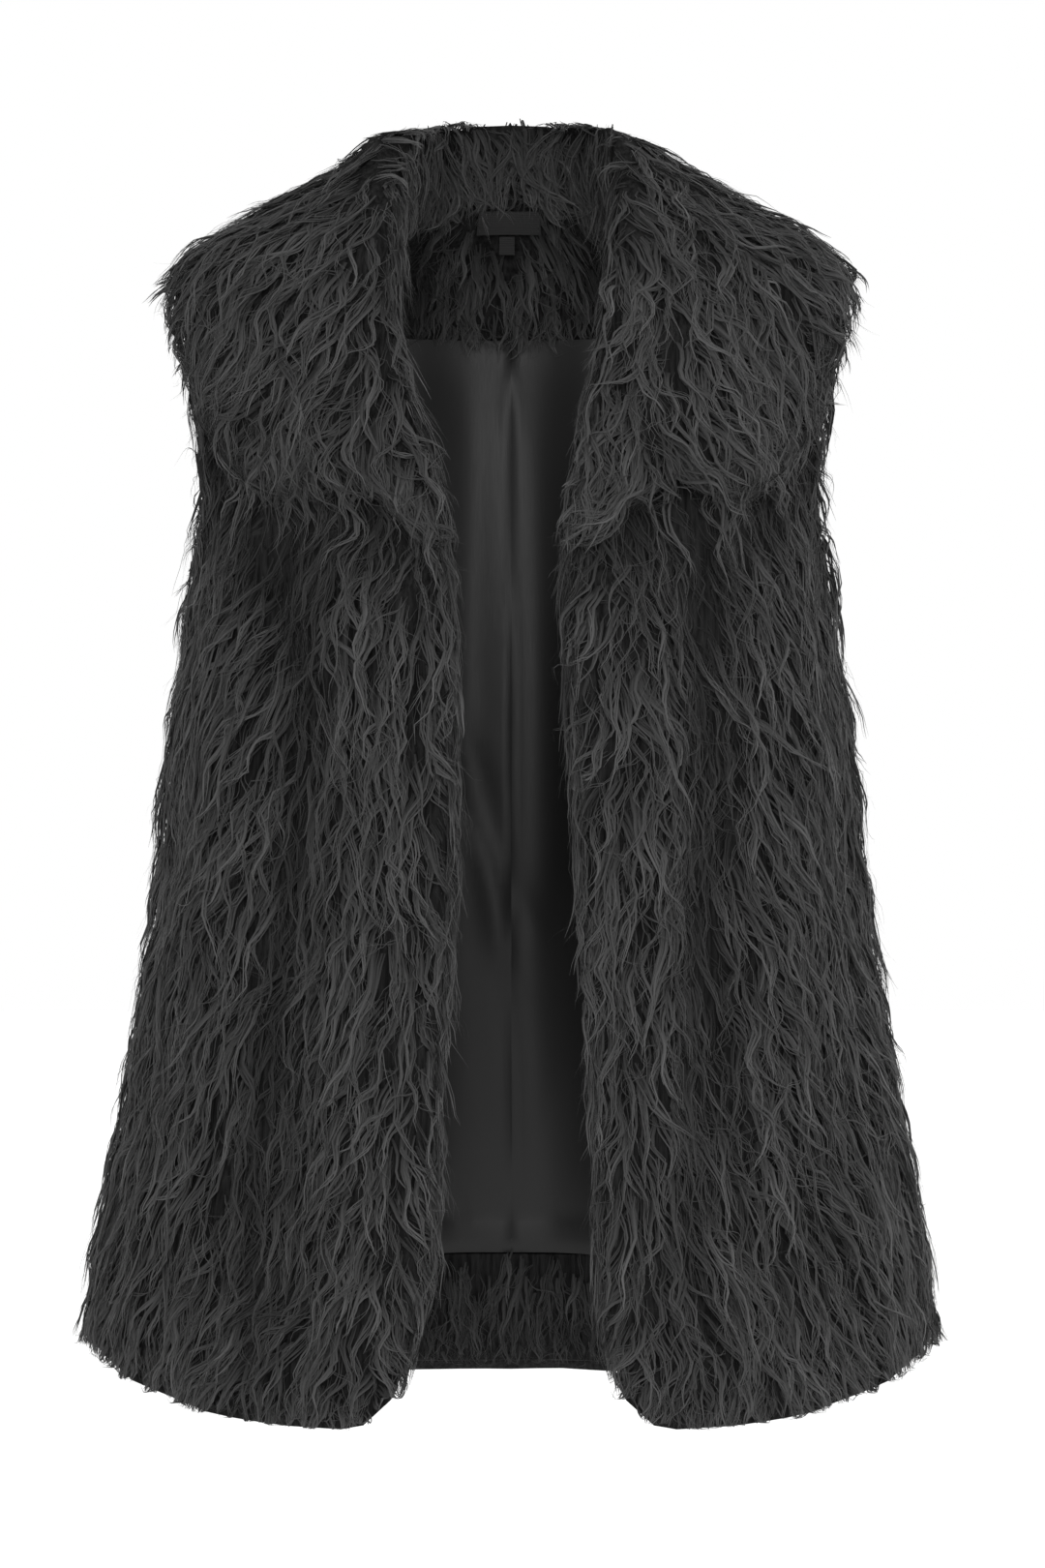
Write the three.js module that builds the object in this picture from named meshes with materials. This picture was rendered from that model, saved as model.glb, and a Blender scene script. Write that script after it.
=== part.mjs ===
// A sleeveless open-front vest of long-haired fur fabric with a wide shawl collar, worn hollow.
// Millimetres, +Z up. The front faces -Y and the wearer's left is +X. The origin lies between the
// shoulders, at the height of the side neck points, where the wearer carries the vest.
import * as THREE from "three";

// Driving sizes of the cloth and its seams
const PILE = 18; // fur fabric with its standing hair
const COVERED_PILE = 7; // the same fabric pressed flat under the collar
const PRESSED = { from: 46, full: 18 }; // below the collar's edge: pressing begins, and is whole
const LINING = 1.5;
const FACING_PILE = 10;
const LINING_GAP = 1.5; // from the fur fabric's back to the lining
const SEAM_GAP = 0.35;
const RIM_SHARE = 0.7; // how much of the pile is left at a cut edge
const ROUNDNESS = 2.25; // exponent of the rings: 2 is an ellipse, more is boxier

// Hair stands in tufts. Their heights repeat over three columns and three rows
const TUFT = 5; // how far the tufts stand over the hollows between them
const TUFT_ACROSS = [0.1, 1, 0.55];
const TUFT_DOWN = [1, 0.55, 0.15];
const FACING_TUFTS = 0.5; // of the tufts' height outside
const COLLAR_TUFTS = 0.3;

// Rings of the hollow form that the cloth hangs on, from the hem up to the neck
const FORM = [
  { z: -760, side: 240, front: 152, back: 152 },
  { z: -706, side: 237, front: 148, back: 148 },
  { z: -673, side: 234, front: 145, back: 145 },
  { z: -610, side: 226, front: 139, back: 139 },
  { z: -545, side: 214, front: 133, back: 132 },
  { z: -450, side: 200, front: 126, back: 124 },
  { z: -360, side: 190, front: 121, back: 117 },
  { z: -290, side: 179, front: 121, back: 115 },
  { z: -235, side: 173, front: 121, back: 117 },
  { z: -195, side: 175, front: 118, back: 120 },
  { z: -160, side: 182, front: 113, back: 121 },
  { z: -125, side: 190, front: 106, back: 120 },
  { z: -95, side: 194, front: 98, back: 117 },
  { z: -70, side: 193, front: 90, back: 112 },
  { z: -52, side: 183, front: 84, back: 107 },
  { z: -40, side: 156, front: 79, back: 103 },
  { z: -28, side: 130, front: 72, back: 98 },
  { z: -16, side: 102, front: 64, back: 92 },
  { z: -5, side: 80, front: 56, back: 86 },
  { z: 8, side: 64, front: 48, back: 78 },
  { z: 20, side: 56, front: 42, back: 72 },
];

// How far each front edge lies from the middle, the wearer's left and right, from the hem up
const FRONT_EDGE = [
  { z: -760, left: 74, right: 74 },
  { z: -700, left: 64, right: 66 },
  { z: -672, left: 57, right: 58 },
  { z: -610, left: 50, right: 44 },
  { z: -555, left: 50, right: 41 },
  { z: -500, left: 46, right: 40 },
  { z: -445, left: 43, right: 35 },
  { z: -335, left: 37, right: 32 },
  { z: -280, left: 34, right: 31 },
  { z: -225, left: 31, right: 33 },
  { z: -190, left: 34, right: 38 },
  { z: -150, left: 40, right: 47 },
  { z: -120, left: 46, right: 57 },
  { z: -78, left: 55, right: 66 },
  { z: -45, left: 58, right: 66 },
  { z: -20, left: 64, right: 69 },
  { z: 0, left: 68, right: 71 },
];

// Armhole: an oval cut from the side of the form
const ARMHOLE = { middle: -136, halfHeight: 79, forwards: 52, backwards: 48 };

// Hem and neckline
const HEM = { lowest: -709, sideRise: 34, sharpness: 5, cornerRise: 18, cornerWidth: 24 };
const NECK = { side: -3, backRise: 16 };
const HAIR_HANG = 7; // how far the hair hangs below the cloth's cut edge at the hem

// Big vertical folds of the hanging cloth. facing: -1 front, 1 back
const FOLDS = [
  { facing: -1, x: 112, width: 15, depth: 13, top: -170, bottom: -690 },
  { facing: -1, x: -127, width: 16, depth: 13, top: -170, bottom: -690 },
  { facing: -1, x: 182, width: 18, depth: 5, top: -330, bottom: -760 },
  { facing: -1, x: -186, width: 18, depth: 5, top: -330, bottom: -760 },
  { facing: 1, x: 74, width: 22, depth: 8, top: -230, bottom: -760 },
  { facing: 1, x: -88, width: 22, depth: 8, top: -210, bottom: -760 },
  { facing: 1, x: 158, width: 20, depth: 6, top: -300, bottom: -760 },
  { facing: 1, x: -166, width: 20, depth: 6, top: -320, bottom: -760 },
];
const FOLD_FADE = 70; // the length over which a fold begins and ends

// Soft folds of the back lining, which stand in from the fur fabric
const LINING_FOLDS = [
  { x: -8, width: 9, depth: 7, top: -71, bottom: -470 },
  { x: -52, width: 13, depth: 6, top: -71, bottom: -430 },
  { x: 44, width: 12, depth: 6, top: -71, bottom: -560 },
  { x: 92, width: 16, depth: 7, top: -150, bottom: -632 },
  { x: -104, width: 16, depth: 7, top: -180, bottom: -632 },
  { x: -16, width: 22, depth: 5, top: -430, bottom: -632 },
];

// Stations of one collar half, from the centre back over the shoulder to the end of the lapel.
// neckAngle is left out along the front, where the collar follows the front edge.
const COLLAR = [
  { neckAngle: 90, neckZ: 13, rise: 44, lean: 6, edgeAngle: 90, edgeZ: -96 },
  { neckAngle: 70, neckZ: 11.2, rise: 45, lean: 8, edgeAngle: 69, edgeZ: -98 },
  { neckAngle: 50, neckZ: 6.4, rise: 47, lean: 13, edgeAngle: 50, edgeZ: -97 },
  { neckAngle: 30, neckZ: 1, rise: 48, lean: 19, edgeAngle: 33, edgeZ: -88 },
  { neckAngle: 12, neckZ: -2.3, rise: 46, lean: 22, edgeAngle: 17, edgeZ: -68 },
  { neckAngle: -3, neckZ: -3, rise: 43, lean: 20, edgeAngle: 4, edgeZ: -50 },
  { neckAngle: -14, neckZ: -3, rise: 37, lean: 15, edgeAngle: -4, edgeZ: -52 },
  { neckAngle: -25, neckZ: -3, rise: 30, lean: 11, edgeAngle: -9, edgeZ: -62 },
  { neckZ: -15, rise: 22, lean: 7, edgeAngle: -13, edgeZ: -77 },
  { neckZ: -30, rise: 13, lean: 4, edgeAngle: -17, edgeZ: -99 },
  { neckZ: -52, rise: 6, lean: 2, edgeAngle: -21, edgeZ: -130 },
  { neckZ: -80, rise: 2, lean: 0, edgeAngle: -27, edgeZ: -160 },
  { neckZ: -110, rise: 0, lean: 0, edgeAngle: -36, edgeZ: -176 },
  { neckZ: -140, rise: 0, lean: 0, edgeAngle: -48, edgeZ: -174 },
  { neckZ: -170, rise: 0, lean: 0, edgeAngle: -59, edgeZ: -183 },
  { neckZ: -200, rise: 0, lean: 0, edgeAngle: -68, edgeZ: -203 },
];
const LOOPS_PER_STATION = 2;
const COLLAR_PILE = 27; // from the form to the top of the collar's hair
const COLLAR_EDGE_SHARE = 0.8; // of that height, at the collar's outer edge
const COLLAR_REST = COVERED_PILE + 3.5; // where the collar's underside lies
const COLLAR_OVERLAP = { by: 3, from: -225, full: -195 }; // past the front edge of the cloth under it

// The stand, where the collar goes up round the neck before it rolls over
const STAND_WALL = 15;
const FULL_STAND = 22; // a collar that rises this much stands upright
const STAND_LEAN = 0.8; // how far the stand's face turns from the body's slope to upright
const ROLL = { liftShare: 0.5, liftFade: 1.6, turnFade: 0.7 }; // how lift and turn fade to the edge
const HOLLOW = { lapel: -4, standShare: 0.55, width: 1 }; // the hollow under the roll, its top
const FOOT = { raise: 1.2, lapelOuter: 0.5, standOuter: 4, lapelInner: 1 }; // sewn to the neck
const INNER_FACE = [
  { share: 0.35, lean: 3 },
  { share: 0.7, lean: 4 },
  { share: 0.92, lean: 1.5 },
];
const UNDER_SHARES = [1, 0.86, 0.72, 0.58, 0.44, 0.32]; // of the way from the neck seam to the edge
const OVER_SHARES = [0.08, 0.22, 0.38, 0.54, 0.7, 0.86, 1];

// Labels on the fur facing at the back neck
const LABEL = { x: -1.6, width: 45, top: 11.5, bottom: -0.5, thickness: 0.9 };
const SIZE_TAB = { x: -2.8, width: 10, top: -1.8, bottom: -13, thickness: 0.7 };
const TAG_CLEARANCE = 1.5; // from the facing's mean height to the back of a tag
const TAG_COLUMNS = 6;
const TAG_ROWS = 2;

// Rows and columns of the panels: hem to armpit, armhole, shoulder to neck
const SKIRT_ROWS = 26;
const ARMHOLE_ROWS = 9;
const YOKE_ROWS = 5;
const LAST_ROW = SKIRT_ROWS + ARMHOLE_ROWS + YOKE_ROWS;
const HEM_FACING_ROW = 4;
const NECK_FACING_ROW = SKIRT_ROWS + ARMHOLE_ROWS - 1;
const FRONT_COLUMNS = 14;
const BACK_COLUMNS = 30;
const SIDE_INSET = 0.25; // of a column, from the side seam and armhole to what lies inside

const WEARER_LEFT = { name: "left", sign: 1 };
const WEARER_RIGHT = { name: "right", sign: -1 };
const { clamp, degToRad, lerp, radToDeg, smoothstep } = THREE.MathUtils;

// A smooth value between the rows of a table, by a cubic through its rows
function between(rows, key, column, at) {
  const last = rows.length - 1;
  const position = clamp(at, rows[0][key], rows[last][key]);
  let i = 0;
  while (i < last - 1 && position > rows[i + 1][key]) i++;
  const slope = (k) => {
    const before = rows[Math.max(k - 1, 0)];
    const after = rows[Math.min(k + 1, last)];
    return (after[column] - before[column]) / (after[key] - before[key]);
  };
  const step = rows[i + 1][key] - rows[i][key];
  const t = (position - rows[i][key]) / step;
  return (
    (2 * t ** 3 - 3 * t ** 2 + 1) * rows[i][column] +
    (t ** 3 - 2 * t ** 2 + t) * step * slope(i) +
    (3 * t ** 2 - 2 * t ** 3) * rows[i + 1][column] +
    (t ** 3 - t ** 2) * step * slope(i + 1)
  );
}

// The whole numbers from one to another, both included
function steps(from, to, step = 1) {
  const list = [];
  for (let i = from; i <= to; i += step) list.push(i);
  return list;
}

const depthOf = (y) => (y < 0 ? "front" : "back");

// A point of the bare form. The angle turns from +X towards +Y
function bare(angle, z) {
  const side = between(FORM, "z", "side", z);
  const depth = between(FORM, "z", depthOf(Math.sin(angle)), z);
  const across = Math.abs(Math.cos(angle) / side) ** ROUNDNESS;
  const along = Math.abs(Math.sin(angle) / depth) ** ROUNDNESS;
  const radius = (across + along) ** (-1 / ROUNDNESS);
  return new THREE.Vector3(radius * Math.cos(angle), radius * Math.sin(angle), z);
}

function outwards(angle, z) {
  const turn = 0.01;
  const rise = 1;
  const along = bare(angle + turn, z).sub(bare(angle - turn, z));
  const up = bare(angle, z + rise).sub(bare(angle, z - rise));
  return along.cross(up).normalize();
}

// How far the folds draw the cloth in at a point of the form
function foldDepth(folds, point) {
  return folds.reduce((sum, fold) => {
    if (fold.facing && fold.facing * point.y < 0) return sum;
    const reach = Math.exp(-(((point.x - fold.x) / fold.width) ** 2));
    const begun = smoothstep(-point.z, -fold.top, -fold.top + FOLD_FADE);
    const ended = smoothstep(-point.z, -fold.bottom - FOLD_FADE, -fold.bottom);
    return sum + fold.depth * reach * begun * (1 - ended);
  }, 0);
}

// A point off the draped form: 0 is the back of the fur fabric, more is outside it
function cloth(angle, z, off) {
  const point = bare(angle, z);
  return point.addScaledVector(outwards(angle, z), off - foldDepth(FOLDS, point));
}

// The angle at which the form at height z has this x, on its front or back
function angleAtX(x, z, facing) {
  const side = between(FORM, "z", "side", z);
  const depth = between(FORM, "z", depthOf(facing), z);
  const share = Math.min(Math.abs(x) / side, 1) ** ROUNDNESS;
  return Math.atan2(facing * depth * (1 - share) ** (1 / ROUNDNESS), x);
}

// The angle of the armhole's edge at height z, or 0 at the shoulder and side seams
function armholeAngle(z, facing) {
  const height = (z - ARMHOLE.middle) / ARMHOLE.halfHeight;
  if (Math.abs(height) >= 1) return 0;
  const reach = facing < 0 ? ARMHOLE.forwards : ARMHOLE.backwards;
  const y = reach * Math.sqrt(1 - height ** 2);
  const depth = between(FORM, "z", depthOf(facing), z);
  const x = between(FORM, "z", "side", z) * (1 - (y / depth) ** ROUNDNESS) ** (1 / ROUNDNESS);
  return Math.atan2(facing * y, x);
}

// Spreads a panel's columns from its seam at angle 0 to the given angle. Only those near the
// armhole give way to it
const spread = (armhole, to, u) => to * u + armhole * (1 - u) ** 3;

function frontEdgeAngle(side, z, setBack) {
  const x = between(FRONT_EDGE, "z", side.name, z) + setBack;
  return angleAtX(x, z, -1);
}

const neckHeight = (angle) => NECK.side + NECK.backRise * Math.max(Math.sin(angle), 0) ** 2;

// The hem rises to the side seams, and its front corners are rounded
function hemHeight(angle, edgeX) {
  const point = bare(angle, HEM.lowest);
  const share = Math.abs(point.x) / between(FORM, "z", "side", HEM.lowest);
  const fromEdge = (Math.abs(point.x) - edgeX) / HEM.cornerWidth;
  const corner = point.y < 0 ? HEM.cornerRise * Math.max(1 - Math.max(fromEdge, 0), 0) ** 2 : 0;
  return HEM.lowest + HEM.sideRise * share ** HEM.sharpness + corner;
}

// The height of a panel's row between its hem and its neck edge
function rowHeight(row, hem, neck) {
  const armpit = ARMHOLE.middle - ARMHOLE.halfHeight;
  const shoulder = ARMHOLE.middle + ARMHOLE.halfHeight;
  if (row < SKIRT_ROWS) return lerp(hem, armpit, row / SKIRT_ROWS);
  if (row < SKIRT_ROWS + ARMHOLE_ROWS) {
    const even = (row - SKIRT_ROWS) / ARMHOLE_ROWS;
    const closeAtEnds = (1 - Math.cos(Math.PI * even)) / 2;
    return lerp(armpit, shoulder, (even + closeAtEnds) / 2);
  }
  return lerp(shoulder, neck, (row - SKIRT_ROWS - ARMHOLE_ROWS) / YOKE_ROWS);
}

// A panel's place in a row. Its height and its angle depend on each other, so passes settle them
function settledPlace(row, angleAt, edgeX) {
  const passes = 3;
  let z = rowHeight(row, HEM.lowest, NECK.side);
  let angle = 0;
  for (let pass = 0; pass < passes; pass++) {
    angle = angleAt(z);
    z = rowHeight(row, hemHeight(angle, edgeX), neckHeight(angle));
  }
  return { angle, z };
}

// Tufts are staggered from one group of three columns to the next, and proud at their lower ends
function tuftHeight(row, column) {
  const across = TUFT_ACROSS[column % 3];
  const stagger = Math.floor(column / 3) % 2;
  return TUFT * (across * TUFT_DOWN[(row + stagger) % 3] - 0.5);
}

// The height of the collar's outer edge over an angle of the form
function collarEdgeHeight(angle) {
  const turned = Math.abs(radToDeg(Math.asin(Math.sin(angle))));
  const folded = Math.sin(angle) < 0 ? -turned : turned;
  const rows = COLLAR.map(({ edgeAngle, edgeZ }) => ({ angle: edgeAngle, z: edgeZ })).reverse();
  return between(rows, "angle", "z", folded);
}

// How much of the collar's weight presses a panel's hair at a point, from 0 to 1
function pressedAt(angle, z) {
  const edge = collarEdgeHeight(angle);
  return smoothstep(z, edge - PRESSED.from, edge - PRESSED.full);
}

// One closed mesh from points and triangles, turned so that its faces point out
function closedMesh(name, points, triangles, material) {
  let volume = 0;
  for (const [a, b, c] of triangles) {
    volume += points[a].dot(points[b].clone().cross(points[c]));
  }
  const faces = volume < 0 ? triangles.map(([a, b, c]) => [a, c, b]) : triangles;
  const geometry = new THREE.BufferGeometry().setFromPoints(points);
  geometry.setIndex(faces.flat());
  geometry.computeVertexNormals();
  const mesh = new THREE.Mesh(geometry, material);
  mesh.name = name;
  return mesh;
}

// A wall between two grids of points with the same rows and columns
function wall(name, inner, outer, material) {
  const rows = inner.length;
  const columns = inner[0].length;
  const points = [...inner.flat(), ...outer.flat()];
  const triangles = [];
  const quad = (a, b, c, d) => triangles.push([a, b, c], [a, c, d]);
  const inside = (r, c) => r * columns + c;
  const outside = (r, c) => rows * columns + inside(r, c);
  for (let r = 0; r < rows - 1; r++) {
    for (let c = 0; c < columns - 1; c++) {
      quad(outside(r, c), outside(r, c + 1), outside(r + 1, c + 1), outside(r + 1, c));
      quad(inside(r, c), inside(r + 1, c), inside(r + 1, c + 1), inside(r, c + 1));
    }
    quad(inside(r, 0), outside(r, 0), outside(r + 1, 0), inside(r + 1, 0));
    const end = columns - 1;
    quad(inside(r + 1, end), outside(r + 1, end), outside(r, end), inside(r, end));
  }
  for (let c = 0; c < columns - 1; c++) {
    quad(inside(0, c + 1), outside(0, c + 1), outside(0, c), inside(0, c));
    const top = rows - 1;
    quad(inside(top, c), outside(top, c), outside(top, c + 1), inside(top, c + 1));
  }
  return closedMesh(name, points, triangles, material);
}

// A fur panel from its rows of { angle, z } places, with tufted hair that thins to its cut edges
function furPanel(name, places, seamAt, material) {
  const lastColumn = places[0].length - 1;
  const inner = places.map((row) => row.map(({ angle, z }) => cloth(angle, z, 0)));
  inner[0].forEach((point) => point.setZ(point.z + HAIR_HANG));
  const outer = places.map((row, r) =>
    row.map(({ angle, z }, c) => {
      const onSeam = seamAt(r, c);
      const onEdge = !onSeam && (c === 0 || c === lastColumn || r === 0 || r === LAST_ROW);
      const pressed = pressedAt(angle, z);
      const tuft = onSeam ? 0 : tuftHeight(r, c) * (1 - pressed);
      const hair = lerp(PILE, COVERED_PILE, pressed) + tuft;
      return cloth(angle, z, onEdge ? RIM_SHARE * hair : hair);
    }),
  );
  return wall(name, inner, outer, material);
}

// Moves a seam's points off the plane of the side and shoulder seams, so that the panels part there
function partSeams(mesh, facing) {
  const position = mesh.geometry.getAttribute("position");
  for (let i = 0; i < position.count; i++) {
    if (facing * position.getY(i) < SEAM_GAP / 2) position.setY(i, (facing * SEAM_GAP) / 2);
  }
  return mesh;
}

function frontPanel(side, material) {
  const hemEdge = between(FRONT_EDGE, "z", side.name, HEM.lowest);
  const places = steps(0, LAST_ROW).map((row) =>
    steps(0, FRONT_COLUMNS).map((column) => {
      const angleAt = (z) => {
        const covered = smoothstep(z, COLLAR_OVERLAP.from, COLLAR_OVERLAP.full);
        const edge = frontEdgeAngle(side, z, COLLAR_OVERLAP.by * covered);
        return spread(armholeAngle(z, -1), edge, column / FRONT_COLUMNS);
      };
      const { angle, z } = settledPlace(row, angleAt, hemEdge);
      return { angle: side.sign > 0 ? angle : -Math.PI - angle, z };
    }),
  );
  const onSeam = (r, c) => c === 0 && armholeAngle(places[r][0].z, -1) === 0;
  return partSeams(furPanel(`front_${side.name}`, places, onSeam, material), -1);
}

// Places on the back, from the wearer's left seam or armhole round to the right one
const backPlaces = steps(0, LAST_ROW).map((row) =>
  steps(0, BACK_COLUMNS).map((column) => {
    const toMiddle = Math.min(column, BACK_COLUMNS - column) / (BACK_COLUMNS / 2);
    const angleAt = (z) => {
      const angle = spread(armholeAngle(z, 1), Math.PI / 2, toMiddle);
      return column > BACK_COLUMNS / 2 ? Math.PI - angle : angle;
    };
    return settledPlace(row, angleAt, 0);
  }),
);

function backPanel(material) {
  const onSeam = (r, c) => c % BACK_COLUMNS === 0 && armholeAngle(backPlaces[r][c].z, 1) === 0;
  return partSeams(furPanel("back", backPlaces, onSeam, material), 1);
}

// What lies inside the back is made from the back's own points, moved in. columns is a list of
// places between the back's columns, and inwards(r, c) tells how far in each point goes
function behindBack(rows, columns, inwards) {
  return rows.map((r) =>
    columns.map((c) => {
      const [from, to] = [Math.floor(c), Math.ceil(c)].map((k) => {
        const { angle, z } = backPlaces[r][k];
        return cloth(angle, z, -inwards(r, k));
      });
      return from.lerp(to, c - Math.floor(c));
    }),
  );
}

// Parts two pieces that share a row of points, by moving the upper or lower one's edge away
function partRow(grid, row, rise) {
  grid[row].forEach((point) => point.setZ(point.z + rise));
  return grid;
}

function liningHalf(side, material) {
  const rows = steps(HEM_FACING_ROW, NECK_FACING_ROW, 2);
  const middle = BACK_COLUMNS / 2;
  const halfColumns = [SIDE_INSET, ...steps(1, middle)];
  const columns = halfColumns.map((c) => (side.sign > 0 ? c : BACK_COLUMNS - c));
  const layer = (off) => {
    const inwards = (r, k) => {
      const { angle, z } = backPlaces[r][k];
      return off + foldDepth(LINING_FOLDS, bare(angle, z));
    };
    const grid = behindBack(rows, columns, inwards);
    grid.forEach((row) => row[middle].setX((side.sign * SEAM_GAP) / 2));
    partRow(grid, 0, SEAM_GAP);
    return partRow(grid, rows.length - 1, -SEAM_GAP);
  };
  const inner = layer(LINING_GAP + LINING);
  return wall(`lining_back_${side.name}`, inner, layer(LINING_GAP), material);
}

// The two faces of a fur facing inside the back, over the given rows of the back's points
function facingFaces(rows) {
  const columns = [SIDE_INSET, ...steps(1, BACK_COLUMNS - 1), BACK_COLUMNS - SIDE_INSET];
  const ends = [rows[0], rows[rows.length - 1]];
  const hair = (r, k) => {
    const onEdge = k % BACK_COLUMNS === 0 || ends.includes(r);
    return onEdge ? RIM_SHARE * FACING_PILE : FACING_PILE + FACING_TUFTS * tuftHeight(r, k);
  };
  const inner = behindBack(rows, columns, (r, k) => LINING_GAP + hair(r, k));
  const outer = behindBack(rows, columns, () => LINING_GAP);
  return [inner, outer];
}

function neckFacing(material) {
  return wall("neck_facing", ...facingFaces(steps(NECK_FACING_ROW, LAST_ROW)), material);
}

function hemFacing(material) {
  const aboveHem = HAIR_HANG + 1;
  const faces = facingFaces(steps(0, HEM_FACING_ROW)).map((grid) => partRow(grid, 0, aboveHem));
  return wall("hem_facing", ...faces, material);
}

// A flat woven tag on the neck facing, curved with it
function tag(name, size, material) {
  const back = -LINING_GAP - FACING_PILE - TAG_CLEARANCE;
  const places = steps(0, TAG_ROWS).map((row) =>
    steps(0, TAG_COLUMNS).map((column) => {
      const z = lerp(size.bottom, size.top, row / TAG_ROWS);
      const x = lerp(-size.width / 2, size.width / 2, column / TAG_COLUMNS);
      return { angle: angleAtX(size.x + x, z, 1), z };
    }),
  );
  const face = (off) => places.map((row) => row.map(({ angle, z }) => cloth(angle, z, off)));
  return wall(name, face(back - size.thickness), face(back), material);
}

// A station between two rows of the table. Where only one of them has an angle, it is worked out
function collarStation(position) {
  const i = Math.min(Math.floor(position), COLLAR.length - 2);
  const t = position - i;
  const [from, to] = [COLLAR[i], COLLAR[i + 1]];
  const station = {};
  for (const key of ["neckZ", "rise", "lean", "edgeAngle", "edgeZ"]) {
    station[key] = lerp(from[key], to[key], t);
  }
  if (to.neckAngle !== undefined) station.neckAngle = lerp(from.neckAngle, to.neckAngle, t);
  else if (t === 0 && from.neckAngle !== undefined) station.neckAngle = from.neckAngle;
  return station;
}

// One closed loop round the collar at a station: up along the panel, round the hollow under the
// roll, down to the neck seam, up inside the stand, over the roll and down to the outer edge
function collarLoop(side, station, index) {
  const upright = new THREE.Vector3(0, 0, 1);
  const neckAngle =
    station.neckAngle === undefined
      ? frontEdgeAngle(side, station.neckZ, 0)
      : degToRad(station.neckAngle);
  const standing = smoothstep(station.rise, 0, FULL_STAND); // 1 round the neck, 0 on the lapel
  const edgeAngle = degToRad(station.edgeAngle);
  const place = (t) => [lerp(neckAngle, edgeAngle, t), lerp(station.neckZ, station.edgeZ, t)];
  const hairward = (t) => {
    const turn = standing * (1 - t) ** ROLL.turnFade;
    return outwards(...place(t)).lerp(upright, turn).normalize();
  };
  const lift = (t) => COLLAR_PILE + station.rise * ROLL.liftShare * (1 - t) ** ROLL.liftFade;

  // The seam's own axes: up the stand, and out from the neck
  const seam = cloth(...place(0), lerp(COLLAR_REST, 0, standing));
  const down = 0.1;
  const up = cloth(...place(0), 0).sub(cloth(...place(down), 0)).normalize();
  up.lerp(upright, STAND_LEAN * standing).normalize();
  const away = outwards(...place(0));
  away.addScaledVector(up, -away.dot(up)).normalize();
  const at = (height, out) => seam.clone().addScaledVector(up, height).addScaledVector(away, out);

  const loop = UNDER_SHARES.map((t) => cloth(...place(t), COLLAR_REST));
  const hollowHeight = lerp(HOLLOW.lapel, HOLLOW.standShare * station.rise, standing);
  const hollowTop = at(hollowHeight, COLLAR_REST * standing + HOLLOW.width);
  const foot = (off) => {
    return at(FOOT.raise * standing, 0).addScaledVector(outwards(...place(0)), off);
  };
  const innerFoot = foot(
    lerp(FOOT.lapelInner - COLLAR_REST, FOOT.standOuter - STAND_WALL, standing),
  );
  loop.push(loop[loop.length - 1].clone().lerp(hollowTop, 0.5), hollowTop);
  loop.push(foot(lerp(FOOT.lapelOuter, FOOT.standOuter, standing)), innerFoot);

  const crest = cloth(...place(0), 0).addScaledVector(hairward(0), lift(0));
  crest.addScaledVector(away, -station.lean);
  for (const { share, lean } of INNER_FACE) {
    loop.push(innerFoot.clone().lerp(crest, share).addScaledVector(away, -lean));
  }
  loop.push(crest);
  const lock = (index % 2 ? 1 : -1) * TUFT * COLLAR_TUFTS;
  for (const t of OVER_SHARES) {
    const height = t === 1 ? lift(t) * COLLAR_EDGE_SHARE : lift(t);
    loop.push(cloth(...place(t), 0).addScaledVector(hairward(t), height + lock));
  }
  return loop.map((p) => new THREE.Vector3(side.sign * Math.max(p.x, SEAM_GAP / 2), p.y, p.z));
}

// Triangles that close a loop of points, worked out in its own plane
function capOf(loop, first) {
  const normal = new THREE.Vector3();
  loop.forEach((p, i) => normal.add(p.clone().cross(loop[(i + 1) % loop.length])));
  normal.normalize();
  const turn = new THREE.Quaternion().setFromUnitVectors(normal, new THREE.Vector3(0, 0, 1));
  const flat = loop.map((p) => p.clone().applyQuaternion(turn));
  const faces = THREE.ShapeUtils.triangulateShape(
    flat.map((p) => new THREE.Vector2(p.x, p.y)),
    [],
  );
  return faces.map((face) => face.map((i) => first + i));
}

function collarHalf(side, material) {
  const loopCount = (COLLAR.length - 1) * LOOPS_PER_STATION;
  const rings = steps(0, loopCount).map((i) => {
    return collarLoop(side, collarStation(i / LOOPS_PER_STATION), i);
  });
  const size = rings[0].length;
  const triangles = [];
  for (let r = 0; r < loopCount; r++) {
    const first = r * size;
    const above = first + size;
    for (let i = 0; i < size; i++) {
      const next = (i + 1) % size;
      triangles.push([first + i, first + next, above + next], [first + i, above + next, above + i]);
    }
  }
  triangles.push(...capOf(rings[0], 0).map(([a, b, c]) => [a, c, b]));
  triangles.push(...capOf(rings[loopCount], loopCount * size));
  return closedMesh(`collar_${side.name}`, rings.flat(), triangles, material);
}

const fur = new THREE.MeshStandardMaterial({ color: 0x2e2e2e, roughness: 0.8 });
const shortFur = new THREE.MeshStandardMaterial({ color: 0x222222, roughness: 0.85 });
const satin = new THREE.MeshStandardMaterial({ color: 0x2b2b2b, roughness: 0.45 });
const woven = new THREE.MeshStandardMaterial({ color: 0x181818, roughness: 0.6 });

const vest = new THREE.Group();
vest.add(backPanel(fur));
for (const side of [WEARER_LEFT, WEARER_RIGHT]) {
  vest.add(frontPanel(side, fur), collarHalf(side, fur), liningHalf(side, satin));
}
vest.add(neckFacing(shortFur), hemFacing(shortFur));
vest.add(tag("neck_label", LABEL, woven), tag("size_tab", SIZE_TAB, woven));

export default vest;
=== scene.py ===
import math

import bpy
import numpy as np
from mathutils import Matrix, Vector, noise
from mathutils.bvhtree import BVHTree


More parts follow.
